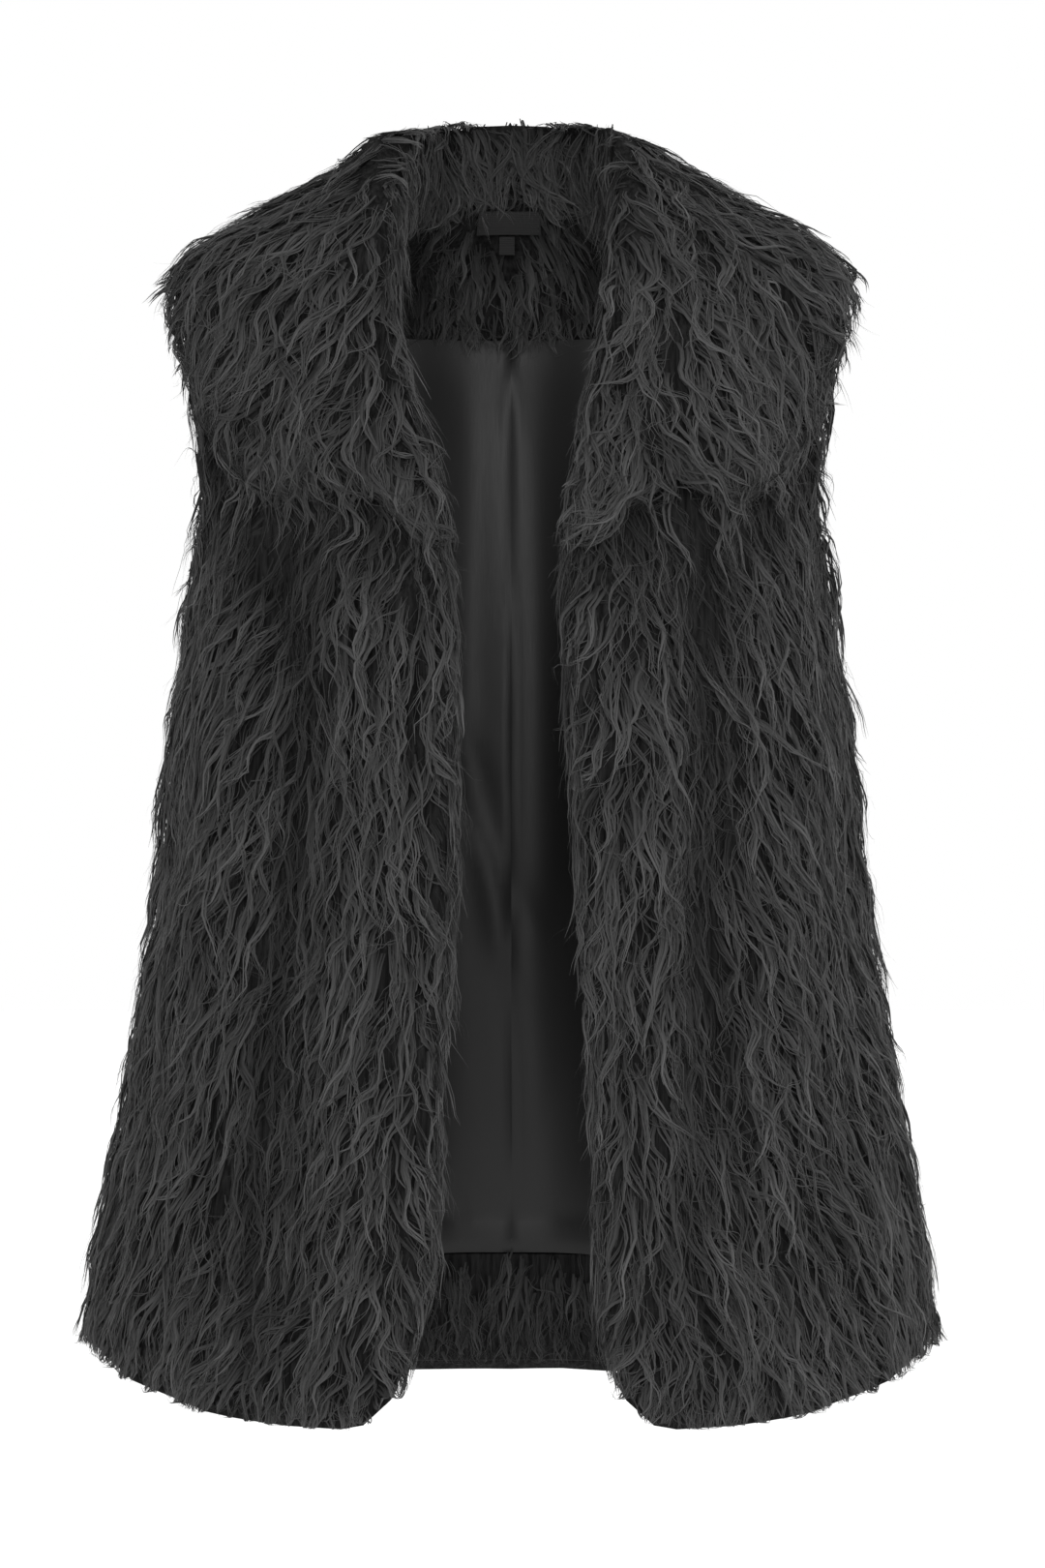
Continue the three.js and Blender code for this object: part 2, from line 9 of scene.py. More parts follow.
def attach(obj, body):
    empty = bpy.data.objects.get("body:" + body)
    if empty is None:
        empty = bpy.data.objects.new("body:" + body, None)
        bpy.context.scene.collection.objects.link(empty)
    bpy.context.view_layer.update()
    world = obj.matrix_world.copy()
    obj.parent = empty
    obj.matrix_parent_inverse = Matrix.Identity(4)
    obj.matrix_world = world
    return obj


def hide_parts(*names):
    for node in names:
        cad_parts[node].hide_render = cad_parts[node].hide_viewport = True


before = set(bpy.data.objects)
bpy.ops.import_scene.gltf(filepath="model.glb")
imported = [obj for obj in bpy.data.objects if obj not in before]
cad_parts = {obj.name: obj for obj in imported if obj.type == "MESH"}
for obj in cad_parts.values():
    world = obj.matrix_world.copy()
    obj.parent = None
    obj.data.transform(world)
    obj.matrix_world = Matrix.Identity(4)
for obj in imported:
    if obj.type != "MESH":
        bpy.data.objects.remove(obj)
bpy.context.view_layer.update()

# ---- Camera
# A long lens straight in front of the vest at half its height, which takes in the whole garment
# from the collar's roll to the hem.
camera_data = bpy.data.cameras.new("front_view")
camera_data.lens = 115.9
camera_data.sensor_width = 36
camera = bpy.data.objects.new("front_view", camera_data)
camera.location = (0.0069, -3.0, -0.342)
camera.rotation_euler = (math.radians(90), 0, 0)
bpy.context.scene.collection.objects.link(camera)
bpy.context.scene.camera = camera

# ---- Back: fur fabric
# One flared panel of long-haired acrylic fur fabric, seamed to the fronts at the shoulders and
# sides. A knitted ground carries dense short underhair, and long crimped locks lie over it.


def cad_faces(name):
    """A CAD node's corners, each place once, and its triangles, in metres."""
    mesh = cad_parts[name].data
    places = np.empty(len(mesh.vertices) * 3, np.float32)
    mesh.vertices.foreach_get("co", places)
    corners = np.empty(len(mesh.loops), np.int32)
    mesh.loops.foreach_get("vertex_index", corners)
    welded, index = np.unique(np.round(places.reshape(-1, 3), 6), axis=0, return_inverse=True)
    triangles = index.ravel()[corners].reshape(-1, 3)
    a, b, c = triangles.T
    whole = (a != b) & (b != c) & (c != a)
    return welded.astype(float), triangles[whole]


def unit(vectors):
    return vectors / np.maximum(np.linalg.norm(vectors, axis=-1, keepdims=True), 1e-12)


def face_normals(points, triangles):
    """Each triangle's normal, as long as twice its area."""
    a, b, c = (points[triangles[:, i]] for i in range(3))
    return np.cross(b - a, c - a)


def mesh_object(name, points, faces, material, smooth=True):
    """A mesh piece that rides on the vest. faces is an array with one row of corners a face."""
    mesh = bpy.data.meshes.new(name)
    faces = np.asarray(faces, np.int32)
    count, sides = faces.shape
    mesh.vertices.add(len(points))
    mesh.vertices.foreach_set("co", np.asarray(points, np.float32).ravel())
    mesh.loops.add(count * sides)
    mesh.loops.foreach_set("vertex_index", faces.ravel())
    mesh.polygons.add(count)
    mesh.polygons.foreach_set("loop_start", np.arange(0, count * sides, sides, dtype=np.int32))
    mesh.polygons.foreach_set("use_smooth", np.full(count, smooth))
    mesh.update(calc_edges=True)
    mesh.validate()
    mesh.materials.append(material)
    piece = bpy.data.objects.new(name, mesh)
    bpy.context.scene.collection.objects.link(piece)
    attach(piece, "root")
    return piece


def linear(colour):
    """An sRGB hex colour as linear red, green, blue and alpha."""
    parts = [int(colour[i : i + 2], 16) / 255 for i in (1, 3, 5)]
    return [p / 12.92 if p <= 0.04045 else ((p + 0.055) / 1.055) ** 2.4 for p in parts] + [1]


def add(material, kind, links=None, **settings):
    """Adds a shader node. links maps its inputs to other nodes' outputs, and settings set the rest."""
    node = material.node_tree.nodes.new("ShaderNode" + kind)
    for key, value in settings.items():
        if hasattr(node, key):
            setattr(node, key, value)
        else:
            node.inputs[key.replace("_", " ")].default_value = value
    for key, output in (links or {}).items():
        material.node_tree.links.new(node.inputs[key], output)
    return node


def new_material(name):
    material = bpy.data.materials.new(name)
    material.use_nodes = True
    material.node_tree.nodes.clear()
    return material


def hair_material(name, root, middle, tip):
    """Dyed acrylic hair: matt, with a faint sheen. Its map runs along the hair from root to tip, which
    is brighter: the darker root is painted shade deep in the pile. Across, the map runs from sheltered
    hair, darkened by painted shade, to open hair. Fine streaks part the hairs of a lock, which are too
    fine to be drawn one by one."""
    material = new_material(name)
    place = add(material, "TexCoord")
    split = add(material, "SeparateXYZ", {"Vector": place.outputs["UV"]})
    # painted shade: the hair is darker at the root, deep in the pile, and brighter towards the tip
    along = add(material, "ValToRGB", {"Fac": split.outputs["Y"]})
    along.color_ramp.elements[0].color = linear(root)
    along.color_ramp.elements[1].color = linear(tip)
    along.color_ramp.elements.new(0.45).color = linear(middle)
    stretch = add(material, "Mapping", {"Vector": place.outputs["UV"]}, Scale=(300, 1.5, 1))
    streaks = add(
        material, "TexNoise", {"Vector": stretch.outputs["Vector"]}, Scale=1.0, Detail=1.0
    )
    streaked = add(
        material, "MapRange", {"Value": streaks.outputs["Fac"]}, To_Min=0.6, To_Max=1.4
    )
    # painted shade: the map's width, the light that reaches the hair, scales its colour from dark to
    # bright
    exposure = add(
        material, "MapRange", {"Value": split.outputs["X"]}, To_Min=0.12, To_Max=2.8
    )
    toned = add(
        material,
        "Math",
        {0: exposure.outputs["Result"], 1: streaked.outputs["Result"]},
        operation="MULTIPLY",
    )
    colour = add(
        material,
        "VectorMath",
        {0: along.outputs["Color"], "Scale": toned.outputs["Value"]},
        operation="SCALE",
    )
    shader = add(
        material,
        "BsdfPrincipled",
        {"Base Color": colour.outputs["Vector"]},
        Roughness=0.6,
        IOR=1.5,
        Specular_IOR_Level=0.14,
        Sheen_Weight=0.05,
        Sheen_Roughness=0.5,
    )
    add(material, "OutputMaterial", {"Surface": shader.outputs["BSDF"]})
    return material


def underhair_material(name, dark, light):
    """The dense short hair between the locks: matt and dark, with fine streaks down the cloth some
    2 mm apart."""
    material = new_material(name)
    place = add(material, "TexCoord")
    lean = add(material, "Mapping", {"Vector": place.outputs["Object"]}, Scale=(420, 420, 40))
    streaks = add(
        material, "TexNoise", {"Vector": lean.outputs["Vector"]}, Scale=1.0, Detail=4.0
    )
    colour = add(material, "ValToRGB", {"Fac": streaks.outputs["Fac"]})
    colour.color_ramp.elements[0].position = 0.35
    colour.color_ramp.elements[0].color = linear(dark)
    colour.color_ramp.elements[1].position = 0.7
    colour.color_ramp.elements[1].color = linear(light)
    bump = add(
        material, "Bump", {"Height": streaks.outputs["Fac"]}, Strength=1.0, Distance=0.002
    )
    shader = add(
        material,
        "BsdfPrincipled",
        {"Base Color": colour.outputs["Color"], "Normal": bump.outputs["Normal"]},
        Roughness=0.85,
        IOR=1.5,
        Specular_IOR_Level=0.1,
    )
    add(material, "OutputMaterial", {"Surface": shader.outputs["BSDF"]})
    return material


SHELL = {name: cad_faces(name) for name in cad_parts}
# The collar's roll, whose top is level behind the neck and drops at its sides: how far it stands
# above the CAD collar at each distance from the middle, in metres
ROLL = [
    {"x": -0.115, "rise": -0.008},
    {"x": -0.097, "rise": -0.002},
    {"x": -0.085, "rise": 0.005},
    {"x": -0.070, "rise": 0.006},
    {"x": -0.055, "rise": 0.004},
    {"x": -0.040, "rise": 0.001},
    {"x": -0.028, "rise": -0.001},
    {"x": 0.030, "rise": -0.001},
    {"x": 0.042, "rise": 0.002},
    {"x": 0.062, "rise": 0.008},
    {"x": 0.077, "rise": 0.001},
    {"x": 0.090, "rise": -0.005},
]
ROLL_WHOLE = 0.04  # from this height up the roll has its whole rise, and at the side neck none
for collar in ("collar_left", "collar_right"):
    corners = SHELL[collar][0]
    share = np.clip(corners[:, 2] / ROLL_WHOLE, 0, 1)
    rise = np.interp(corners[:, 0], [row["x"] for row in ROLL], [row["rise"] for row in ROLL])
    corners[:, 2] += share * rise


def tree_of(names, hairy=False):
    """A search tree over the faces of several CAD nodes, or over those faces that bear hair."""
    points, triangles, first = [], [], 0
    for name in names:
        corners, faces = SHELL[name]
        points.append(corners)
        triangles.append((faces[SKIN[name][0]] if hairy else faces) + first)
        first += len(corners)
    return BVHTree.FromPolygons(
        np.concatenate(points).tolist(), np.concatenate(triangles).tolist()
    )


EVERYTHING = tree_of(list(SHELL))
ROUND_TORSO = [1, 2.4, 0]  # scales a place so that it points straight out of the flat torso
HAIR_DEPTH = 0.0085  # from the hair's tips down to its underhair
THICKEST = 0.06  # no wall of fabric and hair is thicker
LOWER_EDGE = 0.028  # hair stands closer so far above a lower edge, where it is short
STEEP = 0.35  # a face with less of its normal upright counts as a wall above such an edge
ROLL_TOP = 0.044  # hair stands closer above this height, where it parts along the collar's roll
HEM_TOP = -0.6  # hair that starts below this height is cut off with the hem
ARMHOLE_X = 0.12  # the armholes' rims lie farther out and lower than this
ARMHOLE_Z = -0.1


def hair_bed(name, inwards, reach):
    """For each face of a CAD node: whether something covers it within reach, how far it faces out
    of the torso, or into it, how deep its hair is, which is less on top and at the sides, and how
    close its hair stands, which is more at an edge."""
    points, triangles = SHELL[name]
    normals = unit(face_normals(points, triangles))
    middles = points[triangles].mean(1)
    facing = (normals * unit(middles * ROUND_TORSO)).sum(1) * (-1 if inwards else 1)
    own = tree_of([name])
    covered = np.zeros(len(triangles), bool)
    near_edge = np.zeros(len(triangles), bool)
    thick = np.full(len(triangles), THICKEST)
    for i, (middle, normal) in enumerate(zip(middles, normals)):
        start = Vector(middle)
        way = Vector(normal)
        covered[i] = EVERYTHING.ray_cast(start + way * 1e-4, way, reach)[0] is not None
        below = own.ray_cast(start - way * 1e-4, -way, THICKEST)[3]
        if below is not None:
            thick[i] = below
        if abs(normal[2]) < STEEP:
            inside = Vector(middle - 0.003 * normal)
            down = Vector((0, 0, -1))
            near_edge[i] = own.ray_cast(inside, down, LOWER_EDGE)[0] is not None
    level = normals[:, 2].clip(0, 1)
    sideways = (abs(normals[:, 0]) * 3 - 2).clip(0, 1)
    depth = np.minimum(HAIR_DEPTH, 0.5 * thick) * (1 - 0.65 * level) * (1 - 0.6 * sideways)
    in_armhole = (abs(middles[:, 0]) > ARMHOLE_X) & (middles[:, 2] < ARMHOLE_Z)
    rim = (abs(facing) < 0.3) & ((normals[:, 2] < 0.4) | in_armhole)
    closeness = np.where(rim, 2.0, 1.0)
    closeness[near_edge | (middles[:, 2] > ROLL_TOP)] = 2.5
    return covered, facing, depth, closeness


def near_light(name, open_faces, outer_faces, reach):
    """Adds to the open faces the covered outer ones within reach of them, where hair starts that
    comes out from under the neighbour."""
    points, triangles = SHELL[name]
    seen = BVHTree.FromPolygons(points.tolist(), triangles[open_faces].tolist())
    middles = points[triangles].mean(1)
    near = [seen.find_nearest(Vector(m), reach)[0] is not None for m in middles]
    return open_faces | (outer_faces & np.array(near))


SKIN = {}  # the faces that hair grows from, how deep its roots lie, and how close it stands
for fur_node in ("back", "front_left", "front_right"):
    covered, facing, depth, closeness = hair_bed(fur_node, inwards=False, reach=0.012)
    grown = near_light(fur_node, ~covered & (facing > -0.15), facing > 0.3, reach=0.024)
    SKIN[fur_node] = (grown, depth, closeness)
for fur_node in ("collar_left", "collar_right"):
    covered, _, depth, closeness = hair_bed(fur_node, inwards=False, reach=0.035)
    SKIN[fur_node] = (~covered, depth, closeness)
for fur_node in ("neck_facing", "hem_facing"):
    covered, facing, depth, _ = hair_bed(fur_node, inwards=True, reach=0.003)
    SKIN[fur_node] = (~covered & (facing > 0.2), depth, np.ones(len(depth)))
OUTSIDE = ["back", "front_left", "front_right", "collar_left", "collar_right"]

UNDERHAIR = underhair_material("acrylic_underhair", "#040404", "#1a1a1a")
SEAM_HALF_GAP = 0.0005  # the CAD halves stop short of the middle seam, and the cloth closes it
SHARP = math.radians(50)


def underhair(node):
    """The fabric with its short underhair: the CAD wall without the height of its long hair."""
    points, triangles = SHELL[node]
    hairy, depth, _ = SKIN[node]
    weighted = face_normals(points, triangles)[hairy]
    normals = np.zeros_like(points)
    sunk = np.full(len(points), np.inf)
    for i in range(3):
        np.add.at(normals, triangles[hairy, i], weighted)
        np.minimum.at(sunk, triangles[hairy, i], depth[hairy])
    sunk[np.isinf(sunk)] = 0
    moved = points - unit(normals) * sunk[:, None]
    moved[abs(points[:, 0]) < SEAM_HALF_GAP, 0] = 0
    piece = mesh_object(f"{node}_fabric", moved, triangles, UNDERHAIR)
    piece.data.set_sharp_from_angle(angle=SHARP)
    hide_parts(node)
    return piece


PARTING = 0.35  # where the cloth faces out by this much, its hair lies outwards, and inwards before


def combed(place, normal, fan, swirl):
    """The way the hair lies at a place: down, away from the parting where the cloth is level, with
    slow swirls some 60 mm and 25 mm across."""
    outward = Vector((place.x, place.y * 0.6, 0)).normalized()
    level = max(normal.z, 0) * (1.1 if normal.dot(outward) > PARTING else -0.8)
    way = Vector((0, 0, -1)) + outward * (0.1 + level) + fan(place)
    way -= normal * way.dot(normal)
    if way.length < 1e-6:
        way = outward
    way.normalize()
    broad = noise.noise(place * 16)
    narrow = noise.noise(place * 41 + Vector((7, 3, 1)))
    return Matrix.Rotation(swirl * (broad + 0.6 * narrow), 3, normal) @ way


def laid(tree, root, normal, length, turn, look):
    """Follows the cloth from a root along the hair's way, and returns its places and normals.
    Past an edge of the cloth the hair hangs free, and is cut a little below it."""
    at_hem = root.z < HEM_TOP
    stride = 0.003 if at_hem else 0.007
    low, high = look["hem_overhang"] if at_hem else look["overhang"]
    spare = (low + (high - low) * abs(noise.noise(root * 300))) / 1000
    swirl = math.radians(look["swirl"])
    bend = 0.45 * stride  # one step bends back to the cloth by this much at most
    places = [root.copy()]
    normals = [normal.copy()]
    place = root.copy()
    gone = 0.0
    free = 0.0
    while gone < length and free <= spare:
        way = Matrix.Rotation(turn, 3, normal) @ combed(place, normal, look["fan"], swirl)
        target = place + way * stride
        near, facing, _, _ = tree.find_nearest(target)
        pull = near - target
        behind = pull.dot(way)
        if behind < -bend:
            free += stride
            pull -= way * behind
            turn *= 0.6
            normal = (normal + way * 0.5 * (1 + way.z)).normalized()
        if pull.length > bend:
            pull *= bend / pull.length
        if facing.dot(normal) > 0.2:
            normal = (normal * 1.2 + facing).normalized()
        place = target + pull
        gone += stride
        places.append(place.copy())
        normals.append(normal.copy())
    return places, normals


LIGHT_REACH = 0.07  # folds and the collar shade the hair within this distance
LIGHT_RAYS = [  # lean from the normal in radians, and bearing round it in degrees
    (0.9, 0),
    (1.25, 60),
    (0.9, 120),
    (1.25, 180),
    (0.9, 240),
    (1.25, 300),
]


def openness(place, normal):
    """The share of the light that reaches hair here, past folds and the collar."""
    side = normal.orthogonal()
    start = place + normal * 0.002
    clear = 0
    for lean, bearing in LIGHT_RAYS:
        tilted = Matrix.Rotation(lean, 3, side) @ normal
        way = Matrix.Rotation(math.radians(bearing), 3, normal) @ tilted
        clear += EVERYTHING.ray_cast(start, way, LIGHT_REACH)[0] is None
    return clear / len(LIGHT_RAYS)


def resampled(rows, rings):
    """Points evenly along a path, and the path's length."""
    rows = np.array(rows)
    steps = np.linalg.norm(np.diff(rows[:, :3], axis=0), axis=1)
    along = np.concatenate([[0], np.cumsum(steps)])
    at = np.linspace(0, along[-1], rings)
    return np.stack([np.interp(at, along, column) for column in rows.T], 1), along[-1]


def rooted(node, look, random):
    """Where the locks of a node start, spread evenly over its faces: their roots, normals and hair
    depths, their lengths, and how far each turns away from the combed way."""
    points, triangles = SHELL[node]
    hairy, depth, closeness = SKIN[node]
    faces = triangles[hairy]
    normals = face_normals(points, faces)
    areas = np.linalg.norm(normals, axis=1) / 2 * closeness[hairy]
    total = areas.sum()
    count = int(total * 1e4 * look["locks_per_cm2"])
    at = (np.arange(count) + random.random(count)) / count * total
    chosen = np.searchsorted(np.cumsum(areas), at).clip(0, len(faces) - 1)
    u, v = random.random((2, count))
    flip = u + v > 1
    u[flip], v[flip] = 1 - u[flip], 1 - v[flip]
    a, b, c = (points[faces[chosen, i]] for i in range(3))
    roots = a + (b - a) * u[:, None] + (c - a) * v[:, None]
    low, high = look["length"]
    lengths = (low + (high - low) * random.random(count) ** 1.3) / 1000
    turns = random.normal(0, math.radians(look["stray"]), count)
    return zip(roots, unit(normals)[chosen], depth[hairy][chosen], lengths, turns)


OVER_LABEL = 0.08  # the share of the hair that lies over the label, not behind it


def followed(node, lie_on, look, random, keep):
    """Follows each lock of a node over the cloth: its path, normals, length and hair depth, the
    light at its root and tip, and which of its places lie behind a label."""
    tree = tree_of(lie_on, hairy=True)
    rings = look["rings"]
    locks = {key: [] for key in ("path", "up", "length", "depth", "light", "behind")}
    for root, normal, depth, length, turn in rooted(node, look, random):
        if not keep(Vector(root)):
            continue
        places, normals = laid(tree, Vector(root), Vector(normal), length, turn, look)
        path, run = resampled([[*p, *n] for p, n in zip(places, normals)], rings)
        if run < 0.1 * length:
            continue
        behind = [not keep(Vector(p)) for p in path[:, :3]]
        if random.random() < OVER_LABEL:
            behind = [False] * rings
        if any(behind) and not look["behind_label"]:
            clear = behind.index(True)
            if clear < 3:
                continue
            path, run = resampled(path[: clear + random.integers(1, 4)], rings)
            behind = [False] * rings
        light = [openness(places[0], normals[0]), openness(places[-1], normals[-1])]
        row = (path[:, :3], unit(path[:, 3:]), run, depth, light, behind)
        for column, value in zip(locks.values(), row):
            column.append(value)
    locks = {key: np.array(column) for key, column in locks.items()}
    paths, ups = locks["path"], locks["up"]
    for _ in range(2):
        paths[:, 1:-1] = (paths[:, :-2] + 2 * paths[:, 1:-1] + paths[:, 2:]) / 4
        ups[:, 1:-1] = unit(ups[:, :-2] + 2 * ups[:, 1:-1] + ups[:, 2:])
    return locks


def in_fold(places, fold):
    """How deep each place lies in painted shade, from 0 to 1, such as the shade of a fold. fold is a
    table of heights, with how far from the middle the fold or band of shade runs there, its half width
    and its shade."""
    if not fold:
        return np.zeros(places.shape[:-1])
    heights = [row["z"] for row in fold]
    line, half, shade = (
        np.interp(places[..., 2], heights, [row[column] for row in fold])
        for column in ("x", "half", "shade")
    )
    return shade * np.exp(-(((abs(places[..., 0]) - line) / half) ** 2))


FOLD_SINK = 0.005  # how far hair sinks in the bottom of a deep fold
ROLL_BLEND = 0.012  # hair lies flatter from so far below the roll's top


def waved(locks, look, random, t):
    """Adds to the locks their way along, and their spines: up from the root, over the cloth in
    waves, and down or away at the tip."""
    paths, ups, depths = locks["path"], locks["up"], locks["depth"][:, None]
    count = len(paths)
    along = unit(np.gradient(paths, axis=1))
    across = unit(np.cross(ups, along))
    wave_length = random.uniform(*look["wave_length"], count) / 1000
    wave = random.uniform(*look["wave"], count)[:, None] / 1000
    phase = random.uniform(0, 2 * math.pi, (2, count, 1))
    turns = 2 * math.pi * t * (locks["length"] / wave_length)[:, None]
    ramp = np.minimum(1, 3 * t)
    hook = random.normal(0, look["hook"], (count, 1)) / 1000
    hook *= paths[:, -1:, 2] > HEM_TOP
    sideways = wave * ramp * np.sin(turns + phase[0]) + hook * t**4
    upwards = 0.3 * wave * ramp * np.sin(0.8 * turns + phase[1])
    rise = random.uniform(*look["rise"], count)[:, None] / 1000
    flies = random.random(count) < look["flyaway"]
    lift = np.where(flies, random.uniform(*look["lift"], count), 0)
    sunk = -look["root_depth"] * depths
    height = sunk + (rise - sunk) * (1 - (1 - t) ** 3.5)
    level = ups[:, 0, 2].clip(0, 1)
    height = height + (lift * (1 - level) ** 2)[:, None] / 1000 * t**2.5 + upwards
    height = np.where(locks["behind"], np.minimum(height, -0.5 * depths), height)
    # painted shade: the fold tables darken the hair's colour in the fronts' folds, under the collar,
    # in the neck's corners and low in the hem, and the hair sinks a little there
    sheltered = in_fold(paths, look["fold"])
    height = height - FOLD_SINK * sheltered
    at_roll = np.clip((paths[..., 2] - ROLL_TOP + ROLL_BLEND) / ROLL_BLEND, 0, 1)
    height = np.where(height > 0, height * (1 - at_roll), height)
    spine = paths + across * sideways[..., None] + ups * height[..., None]
    ways = {"along": along, "across": across, "spine": spine}
    return {**locks, **ways, "sheltered": sheltered, "at_roll": at_roll}


def lower_edge(points, across, columns, reach):
    """The height of a piece's lower edge at each distance across the vest."""
    stations = np.linspace(points[:, 0].min(), points[:, 0].max(), columns)
    lowest = [points[abs(points[:, 0] - x) < reach, 2].min() for x in stations]
    return np.interp(across, stations, lowest)


CURL_LENGTHS = (0.014, 0.032)
RAISED = 0.0011  # how far the hairs of a lock lie above and below one another
TWIST = 0.35  # how far a hair turns its flat side, in radians
ROUNDNESS = 0.8  # how far the normals at its edges lean out, as on a round strand


def strands(node, locks, look, random, t):
    """The flat hairs of each lock, which start apart and close towards the tip: the places of their
    edges, and normals there as on a round strand."""
    rings = look["rings"]
    count = len(locks["path"])
    each = (count, look["hairs"])
    radius = look["lock_radius"] / 1000 * np.sqrt(random.random(each))
    bearing = random.uniform(0, 2 * math.pi, each)
    close = (1 - t) ** 1.4 * (1 - look["open_tip"]) + look["open_tip"]
    offset = radius[..., None] * close * np.cos(bearing)[..., None]
    curl = random.uniform(*look["curl"], (*each, 1)) / 1000
    curl_lengths = random.uniform(*CURL_LENGTHS, each)
    curl_turns = 2 * math.pi * t * (locks["length"][:, None] / curl_lengths)[..., None]
    curl_turns = curl_turns + random.uniform(0, 2 * math.pi, (*each, 1))
    offset = offset + curl * t**0.6 * np.sin(curl_turns)
    raised = random.normal(0, RAISED, (*each, 1)) * (0.4 + 0.6 * t)
    raised = raised + 0.6 * curl * t * np.cos(curl_turns)
    raised = raised * (1 - 0.8 * locks["at_roll"])[:, None, :]
    slide = radius * np.sin(bearing)
    shorter = random.uniform(0.72, 1, (*each, 1))
    at = t * shorter * (rings - 1)
    lower = np.minimum(at.astype(int), rings - 2)
    part = (at - lower)[..., None]
    lock = np.arange(count)[:, None, None]

    def read(key):
        field = locks[key]
        return field[lock, lower] * (1 - part) + field[lock, lower + 1] * part

    side = unit(read("across"))
    up = unit(read("up"))
    way = unit(read("along"))
    middle = read("spine") + side * offset[..., None] + up * raised[..., None]
    middle = middle + way * (slide[..., None] * (1 - t))[..., None]
    edge = lower_edge(SHELL[node][0], middle[..., 0], columns=60, reach=0.007)
    cut = edge + look["hem_cut"] / 1000 - 0.0015 * t
    at_hem = locks["path"][:, 0, 2] < HEM_TOP
    middle[at_hem, ..., 2] = np.maximum(middle[..., 2], cut)[at_hem]
    twist = random.normal(0, TWIST, (*each, 1)) * (1 + t)
    flat = side * np.cos(twist)[..., None] + up * np.sin(twist)[..., None]
    face = up * np.cos(twist)[..., None] - side * np.sin(twist)[..., None]
    thin, wide = look["width"]
    width = (thin + (wide - thin) * random.random((*each, 1)) ** 2) / 1000
    taper = (0.7 + 0.3 * np.sin(math.pi / 2 * np.minimum(1, 5 * t))) * (1 - t**1.3) + 0.05
    half = (0.5 * width * taper)[..., None]
    edges = np.stack([middle - flat * half, middle + flat * half], 3)
    rounded = np.stack([unit(face - ROUNDNESS * flat), unit(face + ROUNDNESS * flat)], 3)
    return edges.reshape(-1, 3), rounded.reshape(-1, 3)


LIGHT_TONE = 0.44  # the tone that full light gives a hair
LOCK_TONE = 0.44  # what a lock's own tone adds at most
HAIR_TONE = 0.1  # and what each hair's own tone adds


def tones(locks, look, random, t):
    """The map's tone along each hair: the light that reaches it, and a tone of its own, which
    changes slowly over the cloth from tuft to tuft."""
    root, tip = locks["light"][:, :1], locks["light"][:, 1:]
    sheltered = locks["sheltered"]
    # painted shade: the light that reaches the root and the tip, and a fold's shade, darken the hair's
    # colour
    light = (root + (tip - root) * t**2) ** look["shelter"] * (1 - sheltered)
    count = len(light)
    own = LOCK_TONE * random.random((count, 1)) ** 1.6
    own = own + HAIR_TONE * random.random((count, look["hairs"]))
    tufts = [1 + 0.7 * noise.noise(Vector(place) * 38) for place in locks["path"][:, 0]]
    # painted shade: in a fold's shade the hair's own tone darkens too
    own = own[..., None] * np.array(tufts)[:, None, None] * (1 - 0.9 * sheltered)[:, None, :]
    return LIGHT_TONE * light[:, None, :] + own


def grow(name, node, lie_on, look, material, seed, keep):
    """A mesh of hair over a CAD node. It grows in locks of a few flat hairs each, which share one
    wavy path and close at the tip. look names its sizes, in millimetres."""
    random = np.random.default_rng(seed)
    rings = look["rings"]
    t = np.linspace(0, 1, rings)
    locks = waved(followed(node, lie_on, look, random, keep), look, random, t)
    points, rounded = strands(node, locks, look, random, t)
    ladder = np.arange(len(points) // (rings * 2))[:, None] * rings * 2 + np.arange(rings - 1) * 2
    quads = np.stack([ladder, ladder + 2, ladder + 3, ladder + 1], -1).reshape(-1, 4)
    piece = mesh_object(name, points, quads, material)
    tone = tones(locks, look, random, t)
    uv = np.zeros((*tone.shape, 2, 2))
    uv[..., 0, 0] = tone
    uv[..., 1, 0] = tone + 0.02
    uv[..., 1] = (0.01 + 0.98 * t)[:, None]
    layer = piece.data.uv_layers.new(name="OFBake")
    layer.uv.foreach_set("vector", uv.reshape(-1, 2)[quads.ravel()].astype(np.float32).ravel())
    piece.data.normals_split_custom_set_from_vertices(rounded.tolist())
    return piece


def straight_down(place):
    return Vector((0, 0, 0))


def everywhere(place):
    return True


LONG_HAIR = hair_material("acrylic_long_hair", "#0a0a0a", "#1e1e1e", "#2b2b2b")
PANEL_LOOK = {  # sizes in millimetres and angles in degrees, the rest as counts or shares
    "rings": 10,
    "locks_per_cm2": 0.33,
    "wisps_per_cm2": 0.19,
    "hairs": 5,
    "length": (45, 90),
    "stray": 14,
    "swirl": 26,
    "wave": (1.4, 4.6),
    "wave_length": (28, 52),
    "hook": 4,
    "curl": (0.2, 1.3),
    "rise": (-2, 4.5),
    "root_depth": 0.6,
    "flyaway": 0.2,
    "lift": (4, 12),
    "lock_radius": 5.2,
    "open_tip": 0.06,
    "width": (0.9, 3.1),
    "overhang": (8, 28),
    "hem_overhang": (0, 1),
    "hem_cut": 3,
    "shelter": 3,
    "fold": [],
    "behind_label": False,
    "fan": straight_down,
}
WISP_LOOK = {  # single curled hairs that stray over the locks
    "rings": 14,
    "hairs": 2,
    "length": (38, 90),
    "stray": 27,
    "wave": (1.6, 5.0),
    "wave_length": (20, 40),
    "hook": 9,
    "curl": (0.6, 2.8),
    "rise": (0, 4),
    "flyaway": 0.3,
    "lift": (4, 13),
    "lock_radius": 2.0,
    "open_tip": 0.4,
    "width": (0.5, 1.0),
}


